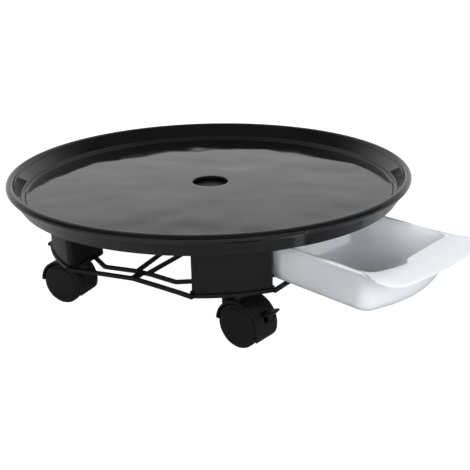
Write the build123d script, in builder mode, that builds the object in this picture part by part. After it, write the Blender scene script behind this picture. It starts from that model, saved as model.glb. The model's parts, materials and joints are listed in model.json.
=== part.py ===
"""Round plant pot caddy: tray, five-legged base, pull-out water drawer and five swivel casters.

Millimetres, +Z up. The origin is the centre of the drain hole at the tray's floor, and +X is the
way the water drawer pulls out. The drawer is modelled pulled open.
"""
import math
import os

from build123d import *

os.makedirs("parts", exist_ok=True)

# ---------------------------------------------------------------- driving dimensions
# tray
rim_radius = 190.0
rim_top = 16.0
rim_bead = 3.5
wall_top_radius = 183.0
ledge_radius = 176.5
ledge_height = 1.3
floor_radius = 174.0
tray_thickness = 3.0
skirt_radius = 179.3
skirt_bottom = -4.0
skirt_wall = 2.4
drain_radius = 17.0

# base frame
leg_count = 5
leg_step = 360 / leg_count
first_leg = leg_step / 2
leg_face_radius = 155.0
leg_inner_radius = 115.0
leg_neck_fillet = 9.0
leg_face_fillet = 4.0
channel_half = 59.7
leg_wall = 2.5
leg_top = -tray_thickness
plate_top = -47.0
plate_bottom = -50.0
plate_flange = 1.7
web_bar = 3.1
hub_radius = 42.0

# long screws through frame and legs into the tray
screw_reach = 141.0
screw_side = 16.0
screw_clearance = 2.0
screw_pilot = 1.7
screw_boss = 4.2
screw_head_recess = 1.9
tray_boss_bottom = -9.0

# short screws of the drain chute and the drawer rails
short_boss = 3.6
short_pilot = 1.2
short_clearance = 1.6
rail_boss_bottom = -5.0
chute_boss_bottom = -6.0

# sleeves that the caster stems turn in
sleeve_radius = 6.4
sleeve_collar = 9.0
sleeve_flange = 8.5
sleeve_flange_height = 1.2

# drawer
drawer_top = -10.5
drawer_bottom = -45.2
drawer_rear = 126.5
drawer_half_top = 55.3
drawer_half_bottom = 51.5
drawer_corner = 228.5
drawer_nose_top = 240.0
drawer_nose_bottom = 234.5
drawer_wall = 1.8
lip_out = 2.2
lip_thick = 1.6
flange_front = 261.5
flange_half = 62.0
flange_back = 229.7

# casters
ground = -98.2
stem_reach = 131.0
caster_trail = 17.5
wheel_radius = 19.5
wheel_inner_face = 6.2
wheel_outer_face = 13.7
cap_radius = 14.5
cap_dome = 0.7
hood_radius = 22.1
hood_wall = 1.8
hood_half = 13.3
stem_radius = 4.0
axle_radius = 2.5
running_gap = 0.05
axle_height = ground + wheel_radius

# swivel direction of each caster at rest, degrees from +X, and whether it has a brake
casters = [
    (first_leg, 150.0, True),
    (first_leg + leg_step, 75.0, False),
    (first_leg + 2 * leg_step, 205.0, False),
    (first_leg + 3 * leg_step, 201.0, False),
    (first_leg + 4 * leg_step, 5.5, True),
]
leg_angles = [angle for angle, _, _ in casters]


def save(name, builder):
    """Label a finished piece and write it as one STEP file."""
    builder.part.label = name
    export_step(builder.part, f"parts/{name}.step")


def polar(radius, angle, side=0.0):
    """Point at a radius and angle, moved sideways along the tangent."""
    return tuple(Vector(radius, side).rotate(Axis.Z, angle))[:2]


def leg_screw_points(angle):
    """The two long screws of one leg."""
    return [polar(screw_reach, angle, side) for side in (-screw_side, screw_side)]


all_screw_points = [point for angle in leg_angles for point in leg_screw_points(angle)]
chute_screw_points = [(0.0, -30.0), (0.0, 30.0)]
rail_screw_points = [(x, side * 50.0) for x in (80.0, 105.0) for side in (-1, 1)]


# ---------------------------------------------------------------- tray
with BuildPart() as tray:
    with BuildSketch(Plane.XZ):
        with BuildLine():
            bead_radial, bead_height = rim_radius - rim_bead, rim_top - rim_bead
            throat = rim_radius - 3.0
            skirt_top = bead_height - 3.0
            Polyline(
                (drain_radius, 0),
                (floor_radius, 0),
                (floor_radius + 1.0, ledge_height),
                (ledge_radius, ledge_height),
                (wall_top_radius, bead_height),
            )
            ThreePointArc(
                (wall_top_radius, bead_height),
                (bead_radial, rim_top),
                (rim_radius, bead_height),
            )
            ThreePointArc(
                (rim_radius, bead_height),
                (rim_radius - 0.9, bead_height - 2.2),
                (throat, skirt_top),
            )
            Polyline(
                (throat, skirt_top),
                (skirt_radius, skirt_bottom),
                (skirt_radius - skirt_wall, skirt_bottom),
                (skirt_radius - skirt_wall + 0.6, -tray_thickness),
                (drain_radius, -tray_thickness),
                (drain_radius, 0),
            )
        make_face()
    revolve(axis=Axis.Z)
    with BuildSketch(Plane.XY.offset(tray_boss_bottom)):
        with Locations(all_screw_points):
            Circle(screw_boss)
            Circle(screw_pilot, mode=Mode.SUBTRACT)
    extrude(amount=-tray_thickness - tray_boss_bottom)
    with BuildSketch(Plane.XY.offset(chute_boss_bottom)):
        with Locations(chute_screw_points):
            Circle(short_boss)
            Circle(short_pilot, mode=Mode.SUBTRACT)
    extrude(amount=-tray_thickness - chute_boss_bottom)
    with BuildSketch(Plane.XY.offset(rail_boss_bottom)):
        with Locations(rail_screw_points):
            Circle(short_boss)
            Circle(short_pilot, mode=Mode.SUBTRACT)
    extrude(amount=-tray_thickness - rail_boss_bottom)
save("tray", tray)


# ---------------------------------------------------------------- drain chute
chute_back = -24.0
chute_front = 62.0
chute_half = 24.0
chute_wall = 2.0
chute_bottom = -9.9
chute_floor = -4.6
chute_bend = 21.0
chute_lip = -8.3
chute_ear = 1.8
chute_ear_radius = 4.4

with BuildPart() as drain_chute:
    with BuildSketch(Plane.XY.offset(chute_bottom)):
        with Locations(((chute_back + chute_front) / 2, 0)):
            RectangleRounded(chute_front - chute_back, 2 * chute_half, 6)
    extrude(amount=-tray_thickness - chute_bottom)
    with BuildSketch(Plane.XZ):
        with BuildLine():
            Polyline(
                (chute_back + chute_wall, 0),
                (chute_front + 1, 0),
                (chute_front + 1, chute_lip),
                (chute_bend, chute_floor),
                (chute_back + chute_wall, chute_floor),
                close=True,
            )
        make_face()
    extrude(amount=chute_half - chute_wall, both=True, mode=Mode.SUBTRACT)
    with BuildSketch(Plane.XY.offset(chute_boss_bottom - chute_ear)):
        with Locations(chute_screw_points):
            Circle(chute_ear_radius)
        with Locations((0, -chute_half - 2), (0, chute_half + 2)):
            Rectangle(2 * chute_ear_radius, 7)
        Rectangle(20, 2 * chute_half - 1, mode=Mode.SUBTRACT)
        with Locations(chute_screw_points):
            Circle(short_clearance, mode=Mode.SUBTRACT)
    extrude(amount=chute_ear)
save("drain_chute", drain_chute)


# ---------------------------------------------------------------- screws
def screws(name, points, seat, shank_radius, tip, head_radius, head_height):
    """A group of pan-head screws driven upwards: head below the seat, shank up to the tip."""
    with BuildPart() as group:
        with BuildSketch(Plane.XY.offset(seat)):
            with Locations(points):
                Circle(shank_radius)
        extrude(amount=tip - seat)
        with BuildSketch(Plane.XY.offset(seat - head_height)):
            with Locations(points):
                Circle(head_radius)
        extrude(amount=head_height)
        chamfer(group.faces().sort_by(Axis.Z)[: len(points)].edges(), head_height * 0.35)
        with BuildSketch(Plane.XY.offset(seat - head_height)):
            for turn in (0, 90):
                with Locations(points):
                    Rectangle(head_radius * 1.1, head_radius * 0.28, rotation=turn)
        extrude(amount=head_height * 0.55, mode=Mode.SUBTRACT)
    save(name, group)


rail_ear = 1.5
screws("leg_screws", all_screw_points, plate_bottom + screw_head_recess, 1.65, -4.5, 3.4, 1.8)
screws("chute_screws", chute_screw_points, chute_boss_bottom - chute_ear, 1.15, -3.6, 2.6, 1.6)
screws("rail_screws", rail_screw_points, rail_boss_bottom - rail_ear, 1.15, -3.6, 2.6, 1.6)


# ---------------------------------------------------------------- legs
def leg_outline(angle, level, grow):
    """Plan of one leg: the wedge that two neighbouring drawer-wide channels leave, grown outwards."""
    reach = math.sqrt(leg_face_radius**2 - channel_half**2)
    half_step = math.radians(leg_step / 2)
    neck = (leg_inner_radius - channel_half * math.sin(half_step)) / math.cos(half_step)
    low = angle - leg_step / 2
    high = angle + leg_step / 2
    with BuildSketch(Plane.XY.offset(level)) as outline:
        with BuildLine():
            face = ThreePointArc(
                polar(reach, low, channel_half),
                polar(leg_face_radius, angle),
                polar(reach, high, -channel_half),
            )
            Polyline(face @ 1, polar(neck, high, -channel_half), polar(neck, low, channel_half), face @ 0)
        make_face()
        corners = outline.vertices().sort_by_distance((0, 0, level))
        fillet(corners[:2], leg_neck_fillet)
        fillet(outline.vertices().sort_by_distance((0, 0, level))[-2:], leg_face_fillet)
        if grow:
            offset(amount=grow, mode=Mode.REPLACE)
    return outline.sketch


leg_rib = 1.8
collar_height = 23.0

for number, angle in enumerate(leg_angles, start=1):
    with BuildPart() as leg:
        extrude(leg_outline(angle, plate_top, 0.0), amount=leg_top - plate_top)
        extrude(leg_outline(angle, plate_top, -leg_wall), amount=leg_top - plate_top, mode=Mode.SUBTRACT)
        with BuildSketch(Plane.XY.offset(plate_top)):
            with Locations(polar(stem_reach, angle)):
                Circle(sleeve_collar)
            with Locations(Location((*polar((stem_reach + leg_face_radius) / 2, angle), 0), (0, 0, angle))):
                Rectangle(leg_face_radius - stem_reach - 2, leg_rib)
            with Locations(polar(stem_reach, angle)):
                Circle(sleeve_radius, mode=Mode.SUBTRACT)
        extrude(amount=collar_height)
        with BuildSketch(Plane.XY.offset(plate_top)):
            with Locations(leg_screw_points(angle)):
                Circle(screw_boss)
                Circle(screw_clearance, mode=Mode.SUBTRACT)
            for side in (-1, 1):
                rib_middle = polar(screw_reach + 7.5, angle, side * screw_side)
                with Locations(Location((*rib_middle, 0), (0, 0, angle))):
                    Rectangle(7.6, leg_rib)
        extrude(amount=tray_boss_bottom - plate_top)
    save(f"leg_housing_{number}", leg)

    with BuildPart() as sleeve:
        with BuildSketch(Plane.XY.offset(plate_bottom)):
            with Locations(polar(stem_reach, angle)):
                Circle(sleeve_radius)
        extrude(amount=plate_top - plate_bottom + collar_height)
        with BuildSketch(Plane.XY.offset(plate_bottom - sleeve_flange_height)):
            with Locations(polar(stem_reach, angle)):
                Circle(sleeve_flange)
        extrude(amount=sleeve_flange_height)
        with BuildSketch(Plane.XY.offset(plate_bottom - 2)):
            with Locations(polar(stem_reach, angle)):
                Circle(stem_radius + running_gap)
        extrude(amount=2 + collar_height + 10, mode=Mode.SUBTRACT)
    save(f"stem_sleeve_{number}", sleeve)


# ---------------------------------------------------------------- lower frame
gap_angles = [step * leg_step for step in range(leg_count)]
plate_height = plate_top - plate_bottom
outer_bar = 134.9
inner_bar = 121.3
rib_side = 5.4
rib_slope = 0.077
rib_end = hub_radius - 1
rib_spread = rib_side + (inner_bar - rib_end) * rib_slope

with BuildPart() as lower_frame:
    for angle in leg_angles:
        extrude(leg_outline(angle, plate_bottom, plate_flange), amount=plate_height)
    for angle in gap_angles:
        with BuildSketch(Plane.XY.offset(plate_bottom).rotated((0, 0, angle))):
            with BuildLine():
                FilletPolyline((144, 64), (141.5, 50), (138.5, 29), (outer_bar, 0), (138.5, -29),
                               (141.5, -50), (144, -64), radius=12)
            trace(line_width=web_bar)
        extrude(amount=plate_height)
        with BuildSketch(Plane.XY.offset(plate_bottom).rotated((0, 0, angle))):
            with BuildLine():
                FilletPolyline((109, 62), (125.3, 36.5), (inner_bar, 9), (inner_bar, -9), (125.3, -36.5),
                               (109, -62), radius=6)
            trace(line_width=web_bar)
        extrude(amount=plate_height)
        with BuildSketch(Plane.XY.offset(plate_bottom).rotated((0, 0, angle))):
            with Locations(((inner_bar + outer_bar) / 2, 0)):
                Rectangle(outer_bar - inner_bar, 5.0)
            for side in (-1, 1):
                with BuildLine():
                    Line((inner_bar, side * rib_side), (rib_end, side * rib_spread))
                trace(line_width=web_bar)
        extrude(amount=plate_height)
    with BuildSketch(Plane.XY.offset(plate_bottom)):
        Circle(hub_radius + web_bar / 2)
        Circle(hub_radius - web_bar / 2, mode=Mode.SUBTRACT)
    extrude(amount=plate_height)
    with BuildSketch(Plane.XY.offset(plate_bottom)):
        with Locations([polar(stem_reach, angle) for angle in leg_angles]):
            Circle(sleeve_radius)
        with Locations(all_screw_points):
            Circle(screw_clearance)
    extrude(amount=plate_height, mode=Mode.SUBTRACT)
    with BuildSketch(Plane.XY.offset(plate_bottom)):
        with Locations(all_screw_points):
            Circle(3.7)
    extrude(amount=screw_head_recess, mode=Mode.SUBTRACT)
save("lower_frame", lower_frame)


# ---------------------------------------------------------------- drawer rails
rail_back = 70.0
rail_front = 140.0
rail_outer = 59.5
rail_inner = 58.2
lip_edge = drawer_half_top + lip_out
rail_shelf = 1.3
rail_ear_radius = 4.2
shelf_top = drawer_top - lip_thick - 0.3
shelf_edge = lip_edge - 1.2
leaf_edge = lip_edge - 2.5
leaf_bottom = drawer_top + 0.4
leaf_top = leaf_bottom + 1.2

for side, name in ((-1, "drawer_rail_right"), (1, "drawer_rail_left")):
    with BuildPart() as rail:
        with BuildSketch(Plane.YZ.offset(rail_back)):
            with BuildLine():
                Polyline(
                    (side * rail_outer, leg_top),
                    (side * rail_outer, shelf_top - rail_shelf),
                    (side * shelf_edge, shelf_top - rail_shelf),
                    (side * shelf_edge, shelf_top),
                    (side * rail_inner, shelf_top),
                    (side * rail_inner, leaf_bottom),
                    (side * leaf_edge, leaf_bottom),
                    (side * leaf_edge, leaf_top),
                    (side * rail_inner, leaf_top),
                    (side * rail_inner, leg_top),
                    close=True,
                )
            make_face()
        extrude(amount=rail_front - rail_back)
        ears = [point for point in rail_screw_points if point[1] * side > 0]
        with BuildSketch(Plane.XY.offset(rail_boss_bottom - rail_ear)):
            for ear_x, ear_y in ears:
                with Locations((ear_x, ear_y)):
                    Circle(rail_ear_radius)
                with Locations((ear_x, (ear_y + side * (rail_outer - 0.2)) / 2)):
                    Rectangle(2 * rail_ear_radius, rail_outer - abs(ear_y) - 0.2)
            with Locations(ears):
                Circle(short_clearance, mode=Mode.SUBTRACT)
        extrude(amount=rail_ear)
    save(name, rail)


# ---------------------------------------------------------------- drawer
def drawer_outline(level, rear, half, corner, nose, radius):
    """Plan of the drawer at one height: straight sides, bowed nose, rounded corners."""
    with BuildSketch(Plane.XY.offset(level)) as outline:
        with BuildLine():
            Polyline((corner, -half), (rear, -half), (rear, half), (corner, half))
            ThreePointArc((corner, half), (nose, 0), (corner, -half))
        make_face()
        fillet(outline.vertices(), radius)
    return outline.sketch.face()


drawer_floor = drawer_bottom + 2.0

with BuildPart() as drawer:
    loft([
        drawer_outline(drawer_bottom, drawer_rear + 2, drawer_half_bottom, drawer_corner - 4,
                       drawer_nose_bottom, 9),
        drawer_outline(drawer_top, drawer_rear, drawer_half_top, drawer_corner, drawer_nose_top, 11),
    ])
    with BuildSketch(Plane.XY.offset(drawer_top - lip_thick)):
        add(drawer_outline(0, drawer_rear - lip_out, drawer_half_top + lip_out, drawer_corner,
                           drawer_nose_top, 11))
        with BuildLine():
            Polyline((flange_back, 54), (flange_back, 59.5), (236, 61.5), (244, flange_half), (257.5, 48))
            ThreePointArc((257.5, 48), (flange_front, 0), (257.5, -48))
            Polyline((257.5, -48), (244, -flange_half), (236, -61.5), (flange_back, -59.5),
                     (flange_back, -54), (flange_back, 54))
        make_face()
    extrude(amount=lip_thick)
    ear_corners = drawer.edges().filter_by(Axis.Z).group_by(Axis.X)[-2:]
    fillet([edge for group in ear_corners for edge in group], 12)
    loft([
        drawer_outline(drawer_floor, drawer_rear + 2 + drawer_wall, drawer_half_bottom - drawer_wall,
                       drawer_corner - 4 - drawer_wall, drawer_nose_bottom - drawer_wall, 8),
        drawer_outline(drawer_top, drawer_rear + drawer_wall, drawer_half_top - drawer_wall,
                       drawer_corner - drawer_wall, drawer_nose_top - drawer_wall, 10),
    ], mode=Mode.SUBTRACT)
save("drawer", drawer)


# ---------------------------------------------------------------- casters
hood_drop = 26.0
hood_corner = 3.0
hood_sweep = 180.0 + hood_drop
lever_angle = 33.0
lever_pivot = 16.6
lever_pin_radius = 1.25
core_half = 5.9
axle_bore_end = 12.0
cap_edge = wheel_outer_face + 0.1
stem_foot = axle_height + 6
stem_boss_radius = 6.9
stem_boss_top = -57.2
stem_top = -22.0


def make_caster(number, leg_angle, swivel, braked):
    """All pieces of one caster, built about its stem, with the wheels trailing along swivel."""
    stem_x, stem_y = polar(stem_reach, leg_angle)
    trail = Vector(1, 0, 0).rotate(Axis.Z, swivel)
    across = trail.cross(Vector(0, 0, 1))
    axle_point = Vector(stem_x, stem_y, axle_height) + trail * caster_trail
    side = Plane(origin=axle_point, x_dir=trail, z_dir=across)
    upright = Plane(origin=(stem_x, stem_y, 0), x_dir=trail, z_dir=(0, 0, 1))
    hood_start = -hood_drop if braked else 0.0
    pivot = polar(lever_pivot, lever_angle)

    with BuildPart() as hood:
        with BuildSketch(side):
            with BuildLine():
                outside = CenterArc((0, 0), hood_radius, hood_start, hood_sweep)
                inside = CenterArc((0, 0), hood_radius - hood_wall, hood_start, hood_sweep)
                Line(outside @ 0, inside @ 0)
                Line(outside @ 1, inside @ 1)
            make_face()
        extrude(amount=hood_half, both=True)
        end_corners = hood.edges().filter_by(lambda edge: abs(edge.length - hood_wall) < 0.01)
        fillet(end_corners, hood_corner)
        with BuildSketch(side):
            Circle(hood_radius - hood_wall / 2)
            with Locations((0, -hood_radius)):
                Rectangle(3 * hood_radius, 2 * hood_radius - 20, mode=Mode.SUBTRACT)
        extrude(amount=2.5, both=True)
        with BuildSketch(side):
            Circle(6.0)
        extrude(amount=core_half, both=True)
        with BuildSketch(upright.offset(axle_height + 2)):
            Circle(stem_boss_radius)
        extrude(amount=stem_boss_top - axle_height - 2)
        with BuildSketch(side):
            Circle(hood_radius - hood_wall)
        space = extrude(amount=hood_half + 2, both=True, mode=Mode.PRIVATE)
        with BuildSketch(side):
            Circle(hood_radius)
        core = extrude(amount=core_half, both=True, mode=Mode.PRIVATE)
        add(space - core, mode=Mode.SUBTRACT)
        with BuildSketch(side):
            Circle(axle_radius)
        extrude(amount=hood_half, both=True, mode=Mode.SUBTRACT)
        with BuildSketch(upright.offset(stem_foot)):
            Circle(stem_radius)
        extrude(amount=stem_top - stem_foot, mode=Mode.SUBTRACT)
        if braked:
            with BuildSketch(side):
                with Locations(Location((*pivot, 0), lever_angle)):
                    Rectangle(9.4, 8.0)
            extrude(amount=4.6, both=True)
            with BuildSketch(side):
                with Locations(Location((21.5, 10.5, 0), lever_angle - 6)):
                    Rectangle(15, 9.5)
                with Locations(pivot):
                    Circle(4.4)
            extrude(amount=2.6, both=True, mode=Mode.SUBTRACT)
            with BuildSketch(side):
                with Locations(pivot):
                    Circle(lever_pin_radius)
            extrude(amount=hood_half, both=True, mode=Mode.SUBTRACT)
    save(f"caster_hood_{number}", hood)

    with BuildPart() as stem:
        with BuildSketch(upright.offset(stem_foot)):
            Circle(stem_radius)
        extrude(amount=stem_top - stem_foot)
        with BuildSketch(upright.offset(plate_bottom - 3.3)):
            Circle(6.6)
        extrude(amount=1.8)
        with BuildSketch(upright.offset(stem_top - 4)):
            Circle(stem_radius + 1)
            Circle(stem_radius - 0.6, mode=Mode.SUBTRACT)
        extrude(amount=1.6, mode=Mode.SUBTRACT)
        chamfer(stem.faces().sort_by(Axis.Z)[-1].edges(), 1.0)
    save(f"caster_stem_{number}", stem)

    with BuildPart() as axle:
        with BuildSketch(side):
            Circle(axle_radius)
        extrude(amount=11.8, both=True)
        chamfer(axle.edges().filter_by(GeomType.CIRCLE), 0.5)
    save(f"caster_axle_{number}", axle)

    for wheel_name, hand in (("a", 1), ("b", -1)):
        spoke_plane = Plane(origin=axle_point, x_dir=across * hand, z_dir=trail * hand)
        with BuildPart() as wheel:
            with BuildSketch(spoke_plane):
                with BuildLine():
                    Polyline(
                        (axle_bore_end, 0),
                        (axle_bore_end, axle_radius + running_gap),
                        (wheel_inner_face, axle_radius + running_gap),
                        (wheel_inner_face, 6.0),
                        (8.6, 6.0),
                        (8.6, 15.8),
                        (6.8, 15.8),
                        (6.8, wheel_radius - 0.8),
                        (7.6, wheel_radius),
                        (12.6, wheel_radius),
                        (wheel_outer_face, wheel_radius - 1.1),
                        (wheel_outer_face, 16.0),
                        (wheel_outer_face - 0.5, 15.6),
                        (wheel_outer_face - 0.5, 15.0),
                        (cap_edge, cap_radius),
                    )
                    RadiusArc((cap_edge, cap_radius), (cap_edge + cap_dome, 0),
                              (cap_radius**2 + cap_dome**2) / (2 * cap_dome))
                    Line((cap_edge + cap_dome, 0), (axle_bore_end, 0))
                make_face()
            revolve(axis=Axis(axle_point, across))
        save(f"wheel_{number}{wheel_name}", wheel)

    if not braked:
        return
    with BuildPart() as lever:
        with BuildSketch(side):
            with Locations(pivot):
                Circle(3.4)
            with Locations(Location((21.2, 13.4), lever_angle)):
                Rectangle(11.0, 3.0)
        extrude(amount=2.0, both=True)
        with BuildSketch(side):
            with BuildLine():
                Polyline((20.3, 13.3), (21.4, 11.6), (29.5, 15.3), (30.2, 17.6), (27.4, 17.9), close=True)
            make_face()
        extrude(amount=5.0, both=True)
        with BuildSketch(side):
            with Locations(pivot):
                Circle(lever_pin_radius + running_gap)
        extrude(amount=10, both=True, mode=Mode.SUBTRACT)
    save(f"brake_lever_{number}", lever)

    with BuildPart() as pin:
        with BuildSketch(side):
            with Locations(pivot):
                Circle(lever_pin_radius)
        extrude(amount=4.0, both=True)
    save(f"brake_pin_{number}", pin)


for number, (leg_angle, swivel, braked) in enumerate(casters, start=1):
    make_caster(number, leg_angle, swivel, braked)
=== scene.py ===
"""Looks of the round plant pot caddy: glossy black tray, satin black base and casters, and a
translucent white water drawer pulled out between two legs."""
import json
import math

import bmesh
import bpy
from mathutils import Matrix, Vector, noise


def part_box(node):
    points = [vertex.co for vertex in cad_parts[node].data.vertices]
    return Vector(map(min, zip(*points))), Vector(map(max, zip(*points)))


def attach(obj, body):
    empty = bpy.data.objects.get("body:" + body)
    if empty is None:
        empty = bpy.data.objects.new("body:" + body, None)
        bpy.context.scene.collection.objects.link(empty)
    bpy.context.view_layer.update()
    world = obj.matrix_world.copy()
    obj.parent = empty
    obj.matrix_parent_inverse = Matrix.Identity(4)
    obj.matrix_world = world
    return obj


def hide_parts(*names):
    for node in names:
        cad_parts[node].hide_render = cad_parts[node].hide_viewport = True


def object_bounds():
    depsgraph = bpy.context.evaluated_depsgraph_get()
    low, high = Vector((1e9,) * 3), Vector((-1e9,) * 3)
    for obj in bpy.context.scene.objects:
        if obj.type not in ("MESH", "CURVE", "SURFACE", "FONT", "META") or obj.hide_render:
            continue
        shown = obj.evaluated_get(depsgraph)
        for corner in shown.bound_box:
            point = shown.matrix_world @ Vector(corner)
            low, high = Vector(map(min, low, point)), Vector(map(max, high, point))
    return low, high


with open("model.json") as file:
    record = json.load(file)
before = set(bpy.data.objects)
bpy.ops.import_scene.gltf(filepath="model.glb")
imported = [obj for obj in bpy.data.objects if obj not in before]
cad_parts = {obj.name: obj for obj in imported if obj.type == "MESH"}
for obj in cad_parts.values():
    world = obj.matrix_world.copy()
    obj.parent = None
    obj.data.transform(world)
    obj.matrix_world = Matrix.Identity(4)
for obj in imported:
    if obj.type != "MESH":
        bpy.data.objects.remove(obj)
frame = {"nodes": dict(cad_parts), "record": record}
cad_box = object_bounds()
scene = bpy.context.scene
MM = 0.001

# the side that the background lights from, away from the camera
far_side = Vector((-0.70, 0.67, 0.25))

# edge roundings of the CAD pieces that stay as they are
hood_rounding = 0.5 * MM
housing_rounding = 0.6 * MM
frame_rounding = 0.5 * MM


# ---------------------------------------------------------------- mesh helpers
def new_object(name, mesh, sharp_degrees=32):
    """Link a mesh as an object, smooth apart from its real edges."""
    mesh.shade_smooth()
    mesh.set_sharp_from_angle(angle=math.radians(sharp_degrees))
    thing = bpy.data.objects.new(name, mesh)
    scene.collection.objects.link(thing)
    return thing


def finish_bmesh(name, work, sharp_degrees=32):
    """Turn a bmesh into an object with its normals outwards."""
    bmesh.ops.recalc_face_normals(work, faces=work.faces)
    mesh = bpy.data.meshes.new(name)
    work.to_mesh(mesh)
    work.free()
    return new_object(name, mesh, sharp_degrees)


def arc(centre, radius, start, end, steps):
    """Points along an arc, angles in degrees."""
    turns = [math.radians(start + (end - start) * i / steps) for i in range(steps + 1)]
    return [(centre[0] + radius * math.cos(t), centre[1] + radius * math.sin(t)) for t in turns]


def lathe(work, profile, place, segments):
    """Spin a closed (radius, height) profile in millimetres into a bmesh. place maps to world."""
    rings = []
    for radius, height in profile:
        if radius < 1e-6:
            rings.append([work.verts.new(place(0.0, height, 0.0))])
            continue
        rings.append([
            work.verts.new(place(radius, height, math.tau * step / segments))
            for step in range(segments)
        ])
    for first, second in zip(rings, rings[1:] + rings[:1]):
        if len(first) == 1 and len(second) == 1:
            continue
        for step in range(segments):
            after = (step + 1) % segments
            corners = [first[step % len(first)], first[after % len(first)],
                       second[after % len(second)], second[step % len(second)]]
            unique = list(dict.fromkeys(corners))
            work.faces.new(unique)


def soften(name, width, segments=2, degrees=35):
    """Round the edges of a CAD node with a bevel modifier."""
    node = frame["nodes"][name]
    node.data.shade_smooth()
    bevel = node.modifiers.new("edge_rounding", "BEVEL")
    bevel.width = width
    bevel.segments = segments
    bevel.limit_method = "ANGLE"
    bevel.angle_limit = math.radians(degrees)
    bevel.harden_normals = True


# ---------------------------------------------------------------- materials
def node_material(name):
    """A new node material, with its node tree and its shader."""
    material = bpy.data.materials.new(name)
    material.use_nodes = True
    tree = material.node_tree
    return material, tree, tree.nodes["Principled BSDF"]


def texture_place(tree):
    """Object coordinates: they ride with the piece and are in metres."""
    return tree.nodes.new("ShaderNodeTexCoord").outputs["Object"]


def noise_node(tree, place, scale, detail=3.0, roughness=0.55, distortion=0.0):
    """A noise texture of the given scale, features per metre."""
    texture = tree.nodes.new("ShaderNodeTexNoise")
    tree.links.new(place, texture.inputs["Vector"])
    texture.inputs["Scale"].default_value = scale
    texture.inputs["Detail"].default_value = detail
    texture.inputs["Roughness"].default_value = roughness
    texture.inputs["Distortion"].default_value = distortion
    return texture.outputs["Fac"]


def spread(tree, value, low, high, start=0.3, end=0.7):
    """Map a texture value onto a range."""
    mapping = tree.nodes.new("ShaderNodeMapRange")
    tree.links.new(value, mapping.inputs["Value"])
    mapping.inputs["From Min"].default_value = start
    mapping.inputs["From Max"].default_value = end
    mapping.inputs["To Min"].default_value = low
    mapping.inputs["To Max"].default_value = high
    return mapping.outputs["Result"]


def blend_colours(tree, factor, first, second):
    """Mix two colours by a texture value."""
    mix = tree.nodes.new("ShaderNodeMix")
    mix.data_type = "RGBA"
    tree.links.new(factor, mix.inputs["Factor"])
    mix.inputs["A"].default_value = (*first, 1.0)
    mix.inputs["B"].default_value = (*second, 1.0)
    return mix.outputs["Result"]


def bump(tree, height, strength, distance, normal=None):
    """A bump node, chained after another where one is given."""
    node = tree.nodes.new("ShaderNodeBump")
    node.inputs["Strength"].default_value = strength
    node.inputs["Distance"].default_value = distance
    tree.links.new(height, node.inputs["Height"])
    if normal is not None:
        tree.links.new(normal, node.inputs["Normal"])
    return node.outputs["Normal"]


def moulded_plastic(name, dark, light, roughness, grain_scale, grain_depth):
    """Injection-moulded plastic: uneven sheen, faint flow clouds and a fine mould grain."""
    material, tree, shader = node_material(name)
    place = texture_place(tree)
    clouds = noise_node(tree, place, 22, detail=4)
    grain = noise_node(tree, place, grain_scale, detail=2)
    scuffs = noise_node(tree, place, 160, detail=6, roughness=0.7, distortion=0.6)
    colour = blend_colours(tree, spread(tree, clouds, 0.0, 1.0), dark, light)
    tree.links.new(colour, shader.inputs["Base Color"])
    sheen = tree.nodes.new("ShaderNodeMath")
    sheen.operation = "ADD"
    tree.links.new(spread(tree, clouds, *roughness), sheen.inputs[0])
    tree.links.new(spread(tree, scuffs, 0.0, 0.05, 0.5, 0.8), sheen.inputs[1])
    tree.links.new(sheen.outputs["Value"], shader.inputs["Roughness"])
    normal = bump(tree, grain, 0.35, grain_depth)
    tree.links.new(normal, shader.inputs["Normal"])
    shader.inputs["IOR"].default_value = 1.5
    shader.inputs["Specular IOR Level"].default_value = 0.32
    return material


def tray_material():
    """Glossy black polypropylene with broad sink marks and faint handling haze."""
    material, tree, shader = node_material("tray_gloss_black")
    place = texture_place(tree)
    haze = noise_node(tree, place, 14, detail=5, distortion=0.4)
    marks = noise_node(tree, place, 9, detail=2, distortion=0.8)
    grain = noise_node(tree, place, 1500, detail=2)
    dark, light = (0.0030, 0.0031, 0.0031), (0.0050, 0.0051, 0.0051)
    colour = blend_colours(tree, spread(tree, haze, 0.0, 1.0), dark, light)
    tree.links.new(colour, shader.inputs["Base Color"])
    tree.links.new(spread(tree, haze, 0.05, 0.09), shader.inputs["Roughness"])
    broad = bump(tree, marks, 0.1, 0.6 * MM)
    tree.links.new(bump(tree, grain, 0.10, 0.02 * MM, broad), shader.inputs["Normal"])
    shader.inputs["IOR"].default_value = 1.5
    return material


def drawer_material():
    """Natural polypropylene: milky, a little see-through, with a satin skin."""
    material, tree, shader = node_material("drawer_milky_white")
    place = texture_place(tree)
    clouds = noise_node(tree, place, 30, detail=3)
    grain = noise_node(tree, place, 900, detail=2)
    dark, light = (0.85, 0.88, 0.92), (0.89, 0.91, 0.935)
    colour = blend_colours(tree, spread(tree, clouds, 0.0, 1.0), dark, light)
    tree.links.new(colour, shader.inputs["Base Color"])
    tree.links.new(spread(tree, clouds, 0.28, 0.36), shader.inputs["Roughness"])
    tree.links.new(bump(tree, grain, 0.2, 0.03 * MM), shader.inputs["Normal"])
    shader.inputs["IOR"].default_value = 1.49
    shader.inputs["Transmission Weight"].default_value = 0.52
    return material


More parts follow.
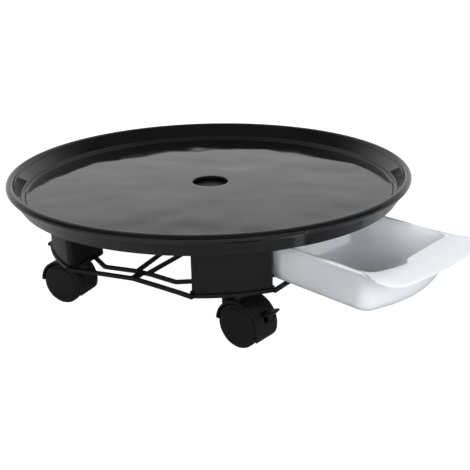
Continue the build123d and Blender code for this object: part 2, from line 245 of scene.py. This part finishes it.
def steel_material():
    """Zinc-plated steel with fine drawn lines and a faint patina."""
    material, tree, shader = node_material("zinc_steel")
    place = texture_place(tree)
    patina = noise_node(tree, place, 120, detail=5)
    lines = noise_node(tree, place, 2500, detail=1)
    dark, light = (0.42, 0.43, 0.45), (0.60, 0.60, 0.60)
    colour = blend_colours(tree, spread(tree, patina, 0.0, 1.0), dark, light)
    tree.links.new(colour, shader.inputs["Base Color"])
    tree.links.new(spread(tree, patina, 0.25, 0.42), shader.inputs["Roughness"])
    tree.links.new(bump(tree, lines, 0.2, 0.02 * MM), shader.inputs["Normal"])
    shader.inputs["Metallic"].default_value = 1.0
    return material


LOOKS = {
    "tray_plastic": tray_material(),
    "frame_plastic": moulded_plastic(
        "base_satin_black", dark=(0.0028, 0.0029, 0.0030), light=(0.0050, 0.0051, 0.0052),
        roughness=(0.34, 0.44), grain_scale=1100, grain_depth=0.04 * MM),
    "caster_plastic": moulded_plastic(
        "caster_satin_black", dark=(0.0030, 0.0031, 0.0032), light=(0.0052, 0.0053, 0.0054),
        roughness=(0.40, 0.50), grain_scale=1400, grain_depth=0.04 * MM),
    "wheel_plastic": moulded_plastic(
        "wheel_satin_black", dark=(0.0036, 0.0037, 0.0038), light=(0.0060, 0.0061, 0.0062),
        roughness=(0.42, 0.52), grain_scale=1600, grain_depth=0.04 * MM),
    "sleeve_nylon": moulded_plastic(
        "sleeve_nylon_black", dark=(0.012, 0.012, 0.012), light=(0.018, 0.018, 0.018),
        roughness=(0.38, 0.46), grain_scale=1500, grain_depth=0.03 * MM),
    "drawer_plastic": drawer_material(),
    "zinc_steel": steel_material(),
}


def dress(thing, slot):
    """Give an object the look of a material slot."""
    thing.data.materials.clear()
    thing.data.materials.append(LOOKS[slot])


for entry in frame["record"]["subparts"]:
    dress(frame["nodes"][entry["node"]], entry["material_slot"])


# ---------------------------------------------------------------- tray
hole_radius = 17.0
tray_thickness = 3.0
floor_edge = 172.6


def tray_profile():
    """Closed section of the tray, from the drain hole outwards, over the rim and back underneath."""
    hole_round = 0.9
    bead, bead_radius = (186.45, 12.47), 3.5
    skirt_top, skirt_foot = (186.3, 7.9), (179.7, -3.3)
    underside = -tray_thickness

    # the hole's wall and rounded edge, then the floor
    profile = [(hole_radius, underside + 0.3), (hole_radius, -hole_round)]
    floor_start = hole_radius + hole_round
    profile += arc((floor_start, -hole_round), hole_round, 180, 90, 4)
    profile += [(floor_start + (floor_edge - floor_start) * i / 60, 0.0) for i in range(1, 61)]

    # the low step at the floor's edge and the sloping wall up to the bead
    profile += arc((floor_edge + 0.2, 0.9), 0.9, -80, -20, 3)
    profile += arc((174.9, 0.75), 0.7, 150, 95, 3)
    profile += [(175.6, 1.45), (176.2, 1.5)]
    profile += arc((176.3, 3.3), 1.8, -80, -25, 4)
    profile += [(181.8, 11.0)]
    profile += arc((181.2, 11.9), 1.0, -30, 10, 3)

    # the rolled bead and the skirt under it
    profile += arc(bead, bead_radius, 172, -40, 22)
    profile += arc(bead, bead_radius, -50, -75, 3)
    profile += [(186.9, 8.6), skirt_top]
    profile += [
        (skirt_top[0] + (skirt_foot[0] - skirt_top[0]) * i / 8,
         skirt_top[1] + (skirt_foot[1] - skirt_top[1]) * i / 8)
        for i in range(1, 9)
    ]
    profile += arc((179.0, -3.4), 0.6, -30, -90, 3)

    # back under the floor to the hole
    profile += [(177.4, -4.0), (177.0, -3.8), (177.4, underside), (176.0, underside)]
    profile += [(20.0, underside), (hole_radius + 0.3, underside)]
    return profile


def warp(x, y, radius):
    """Sink waves of the moulded floor in millimetres, fading out at the hole and the edge."""
    broad_wave, broad_height = 58, 0.70
    small_wave, small_height = 24, 0.20
    past_hole = min(1.0, max(0.0, (radius - 22) / 30))
    before_edge = min(1.0, max(0.0, (172 - radius) / 14))
    broad = noise.noise(Vector((x / broad_wave, y / broad_wave, 3.1)))
    small = noise.noise(Vector((x / small_wave, y / small_wave, 8.7)))
    return past_hole * before_edge * (broad_height * broad + small_height * small)


def make_tray():
    """The saucer: one lathe with a slightly wavy floor."""
    def place(radius, height, turn):
        x, y = radius * math.cos(turn), radius * math.sin(turn)
        if height == 0.0:
            height = warp(x, y, radius)
        return Vector((x, y, height)) * MM

    work = bmesh.new()
    lathe(work, tray_profile(), place, 288)
    tray = finish_bmesh("saucer_tray", work, 40)
    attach(tray, "root")
    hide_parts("tray")
    dress(tray, "tray_plastic")


make_tray()


# ---------------------------------------------------------------- water drawer
drawer_bottom = -45.2
drawer_top = -10.5
drawer_wall = 1.8
drawer_floor = drawer_bottom + 2.0


def rounded_loop(corners, corner_steps=8, edge_steps=6, nose_steps=40):
    """A closed outline through (x, y, radius) corners; the edge halfway round is the nose."""
    loop = []
    count = len(corners)
    for index, (x, y, radius) in enumerate(corners):
        here = Vector((x, y))
        before = (Vector(corners[index - 1][:2]) - here).normalized()
        after = (Vector(corners[(index + 1) % count][:2]) - here).normalized()
        half_turn = math.acos(max(-1.0, min(1.0, before.dot(after)))) / 2
        reach = radius / math.tan(half_turn) if half_turn < 1.55 else 0.0
        start, end = here + before * reach, here + after * reach
        for step in range(corner_steps + 1):
            t = step / corner_steps
            loop.append(start * (1 - t) ** 2 + here * 2 * t * (1 - t) + end * t**2)
        following = Vector(corners[(index + 1) % count][:2])
        back = (Vector(corners[(index + 2) % count][:2]) - following).normalized()
        turn = math.acos(max(-1.0, min(1.0, (here - following).normalized().dot(back)))) / 2
        radius_next = corners[(index + 1) % count][2]
        reach_next = radius_next / math.tan(turn) if turn < 1.55 else 0.0
        stop = following - after * reach_next
        steps = nose_steps if index == count // 2 - 1 else edge_steps
        loop += [end.lerp(stop, step / steps) for step in range(1, steps)]
    return loop


def smooth_step(value):
    """0 to 1 with a soft start and end."""
    value = min(1.0, max(0.0, value))
    return value * value * (3 - 2 * value)


def bowed(loop, front, half, bow):
    """Push the front of an outline outwards into a shallow bow."""
    out = []
    for point in loop:
        near = smooth_step((point.x - front + 14) / 14)
        shift = bow * max(0.0, 1 - (point.y / half) ** 2) * near
        out.append(Vector((point.x + shift, point.y)))
    return out


def wall_loop(height, grow, ledge=False):
    """Outline of the drafted wall at a height. ledge steps the far part of its front back."""
    rise = (height - drawer_bottom) / (drawer_top - drawer_bottom)
    half = 51.5 + 3.8 * rise + grow
    rear = 128.5 - 2.0 * rise - grow
    front = 224.5 + 4.0 * rise + grow
    corner = 9 + 2 * rise + grow
    side = [(rear, 7.0 + grow), (front - 24, 0.0), (front - 18, 0.0), (front, corner)]
    corners = [(x, -half, r) for x, r in side] + [(x, half, r) for x, r in reversed(side)]
    loop = bowed(rounded_loop(corners), front, half, 10 + 1.5 * rise)
    if ledge:
        for point in loop:
            limit = front + 4.6 - 0.065 * (point.y + 10)
            point.x -= max(0.0, point.x - limit) * smooth_step((point.y + 21) / 11)
    return loop


def flange_loop(grow):
    """Outline of the rim lip with the pull handle's ears and bowed front."""
    half, front = 57.5 + grow, 257.5 + grow
    side = [(124.3 - grow, -half, 8.0), (228.5, -half, 3.0), (241.0, -61.9 - grow, 10.0),
            (front, -60.4 - grow, 15.0)]
    corners = side + [(x, -y, r) for x, y, r in reversed(side)]
    return bowed(rounded_loop(corners), front, 60.0, 3.9)


def drawer_rings():
    """The drawer's surface as (height, outline) rings: up outside, over the lip and down inside."""
    bottom, top, floor = drawer_bottom, drawer_top, drawer_floor
    steps = 7

    # rounded foot and outer wall
    rings = [(bottom, wall_loop(bottom, -3.6)), (bottom + 0.35, wall_loop(bottom, -1.9))]
    rings.append((bottom + 1.2, wall_loop(bottom, -0.75)))
    rings.append((bottom + 2.8, wall_loop(bottom + 2.8, -0.1)))
    wall_start, wall_end = bottom + 2.8, top - 3.4
    for step in range(1, steps + 1):
        height = wall_start + (wall_end - wall_start) * step / steps
        rings.append((height, wall_loop(height, 0.0)))

    # lip and handle flange: (depth below the top, how far the outline shrinks)
    rings.append((top - 1.7, wall_loop(top - 1.7, 0.3)))
    lip = [(1.6, 1.6), (1.75, 1.0), (1.8, 0.5), (1.5, 0.05), (0.9, 0.0), (0.35, 0.25), (0.05, 0.8),
           (0.12, 1.9)]
    rings += [(top - depth, flange_loop(-shrink)) for depth, shrink in lip]

    # stepped mouth: (depth below the top, how far it stays inside the outer wall)
    mouth = [(0.12, drawer_wall - 0.6), (0.3, drawer_wall - 0.1), (0.8, drawer_wall),
             (1.9, drawer_wall)]
    rings += [(top - depth, wall_loop(top, -inset, ledge=True)) for depth, inset in mouth]

    # inner wall and rounded floor
    wall_start, wall_end = top - 2.4, floor + 3.0
    rings.append((wall_start, wall_loop(wall_start, -drawer_wall)))
    for step in range(1, steps + 1):
        height = wall_start + (wall_end - wall_start) * step / steps
        rings.append((height, wall_loop(height, -drawer_wall)))
    rings.append((floor + 1.2, wall_loop(floor + 1.2, -drawer_wall - 0.6)))
    rings.append((floor + 0.35, wall_loop(floor, -drawer_wall - 1.6)))
    rings.append((floor, wall_loop(floor, -drawer_wall - 3.6)))
    return rings


def make_drawer():
    """The drawer as one moulding: floor, drafted walls, rounded lip and handle flange."""
    work = bmesh.new()
    circles = [
        [work.verts.new(Vector((point.x, point.y, height)) * MM) for point in loop]
        for height, loop in drawer_rings()
    ]
    for lower, upper in zip(circles, circles[1:]):
        for index in range(len(lower)):
            after = (index + 1) % len(lower)
            work.faces.new((lower[index], lower[after], upper[after], upper[index]))
    work.faces.new(circles[0])
    work.faces.new(circles[-1])
    bmesh.ops.remove_doubles(work, verts=work.verts, dist=1e-6)
    drawer = finish_bmesh("water_drawer", work, 50)
    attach(drawer, "drawer")
    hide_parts("drawer")
    dress(drawer, "drawer_plastic")


make_drawer()


# ---------------------------------------------------------------- casters
joints = {joint["name"]: joint for joint in frame["record"]["behaviour"]["joints"]}


def node_middle(name):
    """Middle of a CAD node's box."""
    low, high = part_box(name)
    return (Vector(low) + Vector(high)) / 2


def wheel_profile():
    """Closed section of one wheel as (radius, distance out along the axle) in millimetres."""
    face_out, dish = 14.45, 0.0018
    face = [(0.0, face_out)]
    face += [(r, face_out - dish * r * r) for r in (3, 6, 9, 11.5, 13.5, 15.0)]
    face += arc((15.2, 13.55), 0.55, 80, 30, 3)
    shoulder = [(17.2, 13.0)] + arc((17.7, 11.2), 1.8, 72, 0, 6)
    tread = [(19.5, 9.4)] + arc((18.7, 7.6), 0.8, 0, -90, 3)
    back = [(15.8, 6.8), (15.8, 8.6), (6.0, 8.6), (6.0, 6.2)]
    axle_bore = [(2.55, 6.2), (2.55, 12.0), (0.0, 12.0)]
    return face + shoulder + tread + back + axle_bore


def make_wheel(name):
    """One wheel of a pair, with a shallow dished face and a rounded shoulder and tread."""
    joint = joints["wheel_spin_" + name]
    hub, axis = Vector(joint["pos_m"]), Vector(joint["axis"]).normalized()
    node = "wheel_" + name
    outwards = axis if (node_middle(node) - hub).dot(axis) > 0 else -axis
    up = Vector((0, 0, 1))
    sideways = outwards.cross(up)

    def place(radius, height, turn):
        spoke = up * math.cos(turn) + sideways * math.sin(turn)
        return hub + (outwards * height + spoke * radius) * MM

    work = bmesh.new()
    lathe(work, wheel_profile(), place, 72)
    wheel = finish_bmesh("caster_" + node, work, 45)
    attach(wheel, node)
    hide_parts(node)
    dress(wheel, "wheel_plastic")


def rounded_power(value, power):
    """A power of a value that keeps its sign, for boxy ovals."""
    return math.copysign(abs(value) ** power, value)


def lever_tab(work, place):
    """The lever's neck and flared tab, a run of boxy ovals. place maps (reach, rise, across)."""
    ring_points = 28
    # (reach from the axle, rise above it, half thickness, half width) in millimetres
    stations = [
        (15.2, 10.2, 1.5, 1.9), (19.6, 13.0, 1.7, 2.1), (21.0, 13.9, 1.9, 4.6), (22.6, 14.6, 2.1, 5.9),
        (25.4, 15.6, 2.1, 6.3), (28.2, 16.9, 1.8, 6.3), (30.0, 18.3, 1.2, 5.6), (30.8, 19.3, 0.6, 4.6),
    ]
    rings = []
    for index, (reach, rise, thick, half) in enumerate(stations):
        before = stations[max(index - 1, 0)]
        after = stations[min(index + 1, len(stations) - 1)]
        slope = Vector((after[0] - before[0], after[1] - before[1])).normalized()
        ring = []
        for step in range(ring_points):
            turn = math.tau * step / ring_points
            wide = rounded_power(math.cos(turn), 0.55) * half
            deep = rounded_power(math.sin(turn), 0.75) * thick
            ring.append(work.verts.new(place(reach - slope.y * deep, rise + slope.x * deep, wide)))
        rings.append(ring)
    for first, second in zip(rings, rings[1:]):
        for step in range(ring_points):
            after = (step + 1) % ring_points
            work.faces.new((first[step], first[after], second[after], second[step]))
    work.faces.new(rings[0])
    work.faces.new(rings[-1])


def make_lever(number):
    """The brake lever: a barrel on its pin, a neck through the hood's slot and a flared tab."""
    swing = joints[f"brake_press_{number}"]
    spin = joints[f"wheel_spin_{number}a"]
    hub, pivot = Vector(spin["pos_m"]), Vector(swing["pos_m"])
    up = Vector((0, 0, 1))
    out = Vector((pivot.x - hub.x, pivot.y - hub.y, 0)).normalized()
    across = out.cross(up)

    def from_hub(reach, rise, side):
        return hub + (out * reach + up * rise + across * side) * MM

    def from_pivot(radius, height, turn):
        spoke = out * math.cos(turn) + up * math.sin(turn)
        return pivot + (across * height + spoke * radius) * MM

    work = bmesh.new()
    lever_tab(work, from_hub)
    barrel = [(1.3, -2.0), (3.1, -2.0), (3.4, -1.7), (3.4, 1.7), (3.1, 2.0), (1.3, 2.0)]
    lathe(work, barrel, from_pivot, 40)
    lever = finish_bmesh(f"caster_brake_lever_{number}", work, 60)
    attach(lever, f"brake_lever_{number}")
    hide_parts(f"brake_lever_{number}")
    dress(lever, "caster_plastic")


for entry in frame["record"]["subparts"]:
    kind, _, suffix = entry["node"].rpartition("_")
    if kind == "wheel":
        make_wheel(suffix)
    elif kind == "brake_lever":
        make_lever(suffix)
    elif kind == "caster_hood":
        soften(entry["node"], hood_rounding)
    elif kind == "leg_housing":
        soften(entry["node"], housing_rounding)
soften("lower_frame", frame_rounding)


# ---------------------------------------------------------------- stage, light and camera
def camera_rays(tree):
    """1 for what the camera sees directly, 0 for light and reflections."""
    return tree.nodes.new("ShaderNodeLightPath").outputs["Is Camera Ray"]


def make_stage():
    """A floor that looks white to the camera and throws little light back onto the black parts, apart
    from a painted glow on its far side that lights them and shows in their reflections.
    """
    ground = cad_box[0].z
    bpy.ops.mesh.primitive_plane_add(size=30, location=(0, 0, ground - 0.2 * MM))
    floor = bpy.context.object
    floor.name = "floor"
    material, tree, shader = node_material("floor_pale")
    lit_grey, seen_grey = (0.30, 0.30, 0.30), (0.22, 0.22, 0.22)
    shade = blend_colours(tree, camera_rays(tree), lit_grey, seen_grey)
    tree.links.new(shade, shader.inputs["Base Color"])
    shader.inputs["Roughness"].default_value = 0.9
    shader.inputs["Specular IOR Level"].default_value = 0.0
    # painted glow: for light and reflections, not for the camera, the floor shines brighter towards
    # its far side, up to 0.75
    behind = tree.nodes.new("ShaderNodeVectorMath")
    behind.operation = "DOT_PRODUCT"
    tree.links.new(texture_place(tree), behind.inputs[0])
    behind.inputs[1].default_value = (far_side.x, far_side.y, 0)
    far_side_glow = spread(tree, behind.outputs["Value"], low=0.0, high=0.75, start=0.10, end=0.55)
    # the camera sees the floor glow evenly white; light and reflections get the painted far-side glow
    painted_floor_glow = tree.nodes.new("ShaderNodeMix")
    tree.links.new(camera_rays(tree), painted_floor_glow.inputs["Factor"])
    tree.links.new(far_side_glow, painted_floor_glow.inputs["A"])
    painted_floor_glow.inputs["B"].default_value = 1.0
    shader.inputs["Emission Color"].default_value = (1, 1, 1, 1)
    tree.links.new(painted_floor_glow.outputs["Result"], shader.inputs["Emission Strength"])
    floor.data.materials.append(material)


def area_light(name, place, target, size, power):
    """A square soft light aimed at a point, seen neither by the camera nor in reflections."""
    light = bpy.data.lights.new(name, "AREA")
    light.size = size
    light.energy = power
    lamp = bpy.data.objects.new(name, light)
    lamp.location = place
    lamp.rotation_euler = (Vector(target) - Vector(place)).to_track_quat("-Z", "Y").to_euler()
    lamp.visible_camera = False
    lamp.visible_glossy = False
    scene.collection.objects.link(lamp)


def make_lights():
    """A background that looks white and lights from the far side, with three soft lamps."""
    world = bpy.data.worlds.new("studio")
    world.use_nodes = True
    tree = world.node_tree
    background = tree.nodes["Background"]
    direction = tree.nodes.new("ShaderNodeTexCoord").outputs["Generated"]
    facing = tree.nodes.new("ShaderNodeVectorMath")
    facing.operation = "DOT_PRODUCT"
    tree.links.new(direction, facing.inputs[0])
    facing.inputs[1].default_value = far_side
    # dim towards the camera's side, bright on the far side
    ramp = spread(tree, facing.outputs["Value"], low=0.07, high=0.84, start=0.20, end=0.75)
    split = tree.nodes.new("ShaderNodeSeparateXYZ")
    tree.links.new(direction, split.inputs[0])
    # a little dimmer high up
    height = spread(tree, split.outputs["Z"], low=1.0, high=0.72, start=0.34, end=0.42)
    far_side_glow = tree.nodes.new("ShaderNodeMath")
    far_side_glow.operation = "MULTIPLY"
    tree.links.new(ramp, far_side_glow.inputs[0])
    tree.links.new(height, far_side_glow.inputs[1])
    brightness = tree.nodes.new("ShaderNodeMath")
    brightness.operation = "MAXIMUM"
    tree.links.new(far_side_glow.outputs["Value"], brightness.inputs[0])
    tree.links.new(camera_rays(tree), brightness.inputs[1])
    background.inputs["Color"].default_value = (1, 1, 1, 1)
    tree.links.new(brightness.outputs["Value"], background.inputs["Strength"])
    scene.world = world
    drawer_rear = (0.15, 0, -0.03)
    area_light("overhead", (-0.35, 0.1, 1.7), (0, 0, 0), size=0.9, power=28)
    area_light("front_right", (1.5, -0.4, 0.47), drawer_rear, size=0.7, power=26)
    area_light("front_left", (0.3, -1.5, 0.5), drawer_rear, size=0.7, power=14)
    scene.view_settings.view_transform = "Standard"


def make_camera():
    """The photograph's viewpoint: low, in front of the leg beside the drawer."""
    place = Vector((505.4, -455.0, 205.5)) * MM
    target = Vector((68.74, -34.12, -28.41)) * MM
    roll = math.radians(-0.953)
    data = bpy.data.cameras.new("camera")
    data.sensor_width = 36
    data.lens = 55.8
    data.clip_start = 0.02
    camera = bpy.data.objects.new("camera", data)
    aim = (target - place).to_track_quat("-Z", "Y").to_matrix().to_4x4()
    camera.matrix_world = Matrix.Translation(place) @ aim @ Matrix.Rotation(roll, 4, "Z")
    scene.collection.objects.link(camera)
    scene.camera = camera


make_stage()
make_lights()
make_camera()
